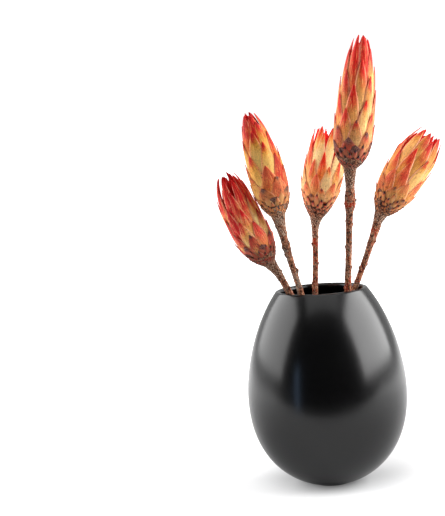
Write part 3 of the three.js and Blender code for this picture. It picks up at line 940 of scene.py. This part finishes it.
def make_bark(head, spine, material):
    """Stem with rough bark and leaf scars, from its cut end inside the vase to the cup."""
    flower = head.flower
    name = flower["name"]
    seed = flower["seed"]
    rim = np.array(flower["stem"][0], dtype=float)
    foot_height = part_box("stem_" + name)[0][2] / MM + FOOT_CLEARANCE
    slope = np.array([*flower["foot_slope"], -1.0])
    hidden = np.linspace(1, 0, HIDDEN_ROWS + 1)[:-1] * (rim[2] - foot_height)
    below = rim[:3] + hidden[:, None] * slope
    right_below, back_below = across(unit(-slope))
    visible = np.arange(spine.start, CUP_LENGTH - 3, BARK_STEP)
    middle, right, back, radius = spine.at(visible)
    middles = np.concatenate([below, middle])[:, None, :]
    rights = np.concatenate([np.tile(right_below, (HIDDEN_ROWS, 1)), right])[:, None, :]
    backs = np.concatenate([np.tile(back_below, (HIDDEN_ROWS, 1)), back])[:, None, :]
    radii = np.concatenate([np.full(HIDDEN_ROWS, rim[3]), radius])[:, None]
    places = np.concatenate([spine.start - hidden, visible])[:, None]
    angles = round_angles(BARK_SIDES)[None, :]

    coarse = 0.2 * ripples(angles, places, seed + 10, terms=10, turns=7, pitch=12)
    fine = 0.22 * ripples(angles, places, seed + 30, terms=12, turns=9, pitch=3.6)
    rough = 0.4 * (coarse + fine) / STEM_RADIUS
    scar = leaf_scars(spine, seed, angles, places, radii)
    swelling = 0
    for height, reach, size, direction in SWELLINGS.get(name, []):
        turned = 1 - np.cos(angles - direction)
        swelling = swelling + size * hump(middles[..., 2] - height, reach) * np.exp(-1.3 * turned)
    bumps = 1.2 * scar + swelling - 0.1
    rings = around(middles, rights, backs, angles + 0 * places, radii * (1 + rough) + bumps)
    flaked = np.full(places.shape, BARK_REDNESS[name])
    for height, reach, redness in RED_STRETCHES.get(name, []):
        flaked = np.maximum(flaked, redness * hump(middles[..., 2] - height, reach))
    flaked = flaked * np.clip((-8 - places) / 8, 0, 1)
    return tube(rings, dict(scar=scar, flaked=flaked), material)


def scale_tips(spine):
    """Places of the scale tips, each a golden angle on from the last, from the stem up over the cup."""
    places = np.linspace(SCALE_PLACES[0], SCALE_PLACES[-1], 400)
    diamond = SCALE_ASPECT * np.interp(places, SCALE_PLACES, SCALE_SPACINGS) ** 2 / 2
    each_step = 2 * math.pi * spine.at(places)[3] / diamond * (places[1] - places[0])
    passed = np.cumsum(each_step)
    return np.interp(np.arange(1, int(passed[-1])), passed, places)


def make_scales(head, spine, material):
    """Pointed scales in spirals, from the top of the stem up over the cup."""
    seed = head.flower["seed"]
    tip = scale_tips(spine)[:, None, None]
    index = np.arange(len(tip))[:, None, None]
    climb = (tip - SCALE_PLACES[0]) / (SCALE_PLACES[-1] - SCALE_PLACES[0])
    width = np.interp(tip, SCALE_PLACES, SCALE_WIDTHS) * (0.92 + 0.16 * draw(index, seed + 15))
    tip = tip + 0.06 * width * (draw(index, seed + 11) - 0.5)
    length = SCALE_OVERLAP * SCALE_ASPECT * width
    along = np.linspace(0, 1, SCALE_ROWS)[None, :, None]
    sideways = np.linspace(-1, 1, SCALE_COLUMNS)[None, None, :]
    place = tip - length * (1 - along)
    middle, right, back, radius = spine.at(place)
    share = np.minimum(1, 0.6 + along) * (1 - np.maximum(along - 0.45, 0) / 0.55) ** 0.65
    share = np.maximum(share, 0.02)

    # The root lies under the skin of the cup, the tip stands a little out of it
    buried = 0.7 + 0.3 * climb
    standing = np.interp(climb, [0, 0.3, 1], [0.2, 0.4, 0.35])
    lift = (buried + standing) * along**1.2 - buried
    drop = (0.25 + 0.4 * climb) * sideways**2
    rib = 0.1 * hump(sideways, 0.25) * along
    thickness = 0.6 * (1 - 0.5 * along)
    angle = head.flower["hand"] * index * GOLDEN_ANGLE + 0.1 * draw(index, seed + 12)
    angle = angle + sideways * share * width / (2 * np.maximum(radius, 2.5))
    outer = around(middle, right, back, angle, radius + lift - drop + rib)
    inner = around(middle, right, back, angle, radius + lift - drop - thickness)
    point = np.interp(tip, POINT_PLACES, POINT_REACHES) * (0.8 + 0.4 * draw(index, seed + 14))
    values = dict(
        from_tip=length * (1 - along),
        across=sideways,
        number=draw(index, seed + 13),
        place=tip,
        point=DARK_POINTS[head.flower["name"]] * point,
    )
    return blades(outer, inner, values, material)


def make_flower(flower):
    name = flower["name"]
    head = Head(flower)
    spine = Spine(head)
    stem_parts = [
        make_bark(head, spine, bark_material(name)),
        make_scales(head, spine, scale_material(name)),
    ]
    add_piece("woody_stem_" + name, stem_parts, "stem_" + name)
    bloom_parts = [
        make_core(head, core_material(name)),
        make_bracts(head, bract_material(name)),
    ]
    add_piece("bract_head_" + name, bloom_parts, "bloom_" + name)


# Camera, floor and light
def pose(right, up, back, place):
    """Matrix of an object from its axes and place."""
    axes = np.stack([right, up, back, place], axis=1)
    return Matrix([[*row] for row in axes] + [[0, 0, 0, 1]])


def make_camera():
    place = np.array(CAMERA_PLACE)
    forward = unit(np.array(CAMERA_TARGET) - place)
    right = np.array([1.0, 0.0, 0.0])
    up = np.cross(right, forward)
    rolled_right = right * math.cos(CAMERA_ROLL) - up * math.sin(CAMERA_ROLL)
    rolled_up = up * math.cos(CAMERA_ROLL) + right * math.sin(CAMERA_ROLL)
    data = bpy.data.cameras.new("camera")
    data.lens = CAMERA_LENS
    data.sensor_width = CAMERA_SENSOR
    data.shift_x = OFF_CENTRE / PHOTO_HEIGHT
    camera = new_object("camera", data)
    camera.matrix_world = pose(rolled_right, rolled_up, -forward, place)
    bpy.context.scene.camera = camera


def make_floor():
    """White floor that glows a little far away, so that it meets the white background."""
    mesh = bpy.data.meshes.new("studio_floor")
    across_steps = np.linspace(-FLOOR_REACH, FLOOR_REACH, FLOOR_COLUMNS)
    depth_steps = FLOOR_FRONT + (FLOOR_REACH - FLOOR_FRONT) * np.linspace(0, 1, FLOOR_ROWS_BACK) ** 2
    points = [(x, y, 0.0) for y in depth_steps for x in across_steps]
    mesh.from_pydata(points, [], grid_faces(FLOOR_ROWS_BACK, FLOOR_COLUMNS, False).tolist())
    shader = new_material("white_floor")
    place = shader.position()
    grain = shader.noise(60.0, roughness=0.5)
    far_glow = shader.span(shader.distance(place), 0.1, 0.9)
    away = shader.distance(shader.mapped(place, SHADE_PLACE, SHADE_SCALE))
    # Painted light: a glow seen only by the camera, missing in an ellipse round and behind the foot, which
    # paints the vase's shadow
    near_glow = shader.times(shader.seen(), shader.span(away, SHADE_INNER, SHADE_OUTER, 0.0, NEAR_GLOW))
    white_floor = shader.finish(
        Base_Color=shader.mix(grain, shared("floor_dark"), shared("floor_pale")),
        Roughness=0.9,
        Emission_Color=(1.0, 1.0, 1.0, 1.0),
        Emission_Strength=shader.math("ADD", far_glow, near_glow),
    )
    mesh.materials.append(white_floor)
    floor = new_object("studio_floor", mesh)


def make_light(name, place, target, size, power, colour=(1, 1, 1)):
    """Rectangular light at a place, turned to a target."""
    data = bpy.data.lights.new(name, "AREA")
    data.shape = "RECTANGLE"
    data.size, data.size_y = size
    data.energy = power
    data.color = colour
    light = new_object(name, data)
    place = np.array(place, dtype=float)
    back = unit(place - np.array(target, dtype=float))
    overhead = abs(back[2]) > 0.99
    right = np.array([1.0, 0.0, 0.0]) if overhead else unit(np.cross([0.0, 0.0, 1.0], back))
    light.matrix_world = pose(right, np.cross(back, right), back, place)
    light.visible_camera = False


def make_room():
    """Room that is dark in front and bright behind, with a white background for the camera."""
    world = bpy.data.worlds.new("studio")
    bpy.context.scene.world = world
    shader = Shader(world, "Background")
    direction = shader.add("ShaderNodeTexCoord", {}).outputs["Generated"]
    depth = shader.add("ShaderNodeSeparateXYZ", {0: direction}).outputs["Y"]
    room = shader.span(depth, -0.6, 0.5, ROOM_FRONT, ROOM_BACK)
    strength = shader.add("ShaderNodeMix", {0: shader.seen(), 2: room, 3: BACKGROUND}).outputs[0]
    shader.finish(Color=(1.0, 1.0, 1.0, 1.0), Strength=strength)
    bpy.context.scene.view_settings.view_transform = "Standard"


make_camera()
make_floor()
for light in LIGHTS:
    make_light(**light)
make_room()
make_vase()
for flower in FLOWERS:
    make_flower(flower)
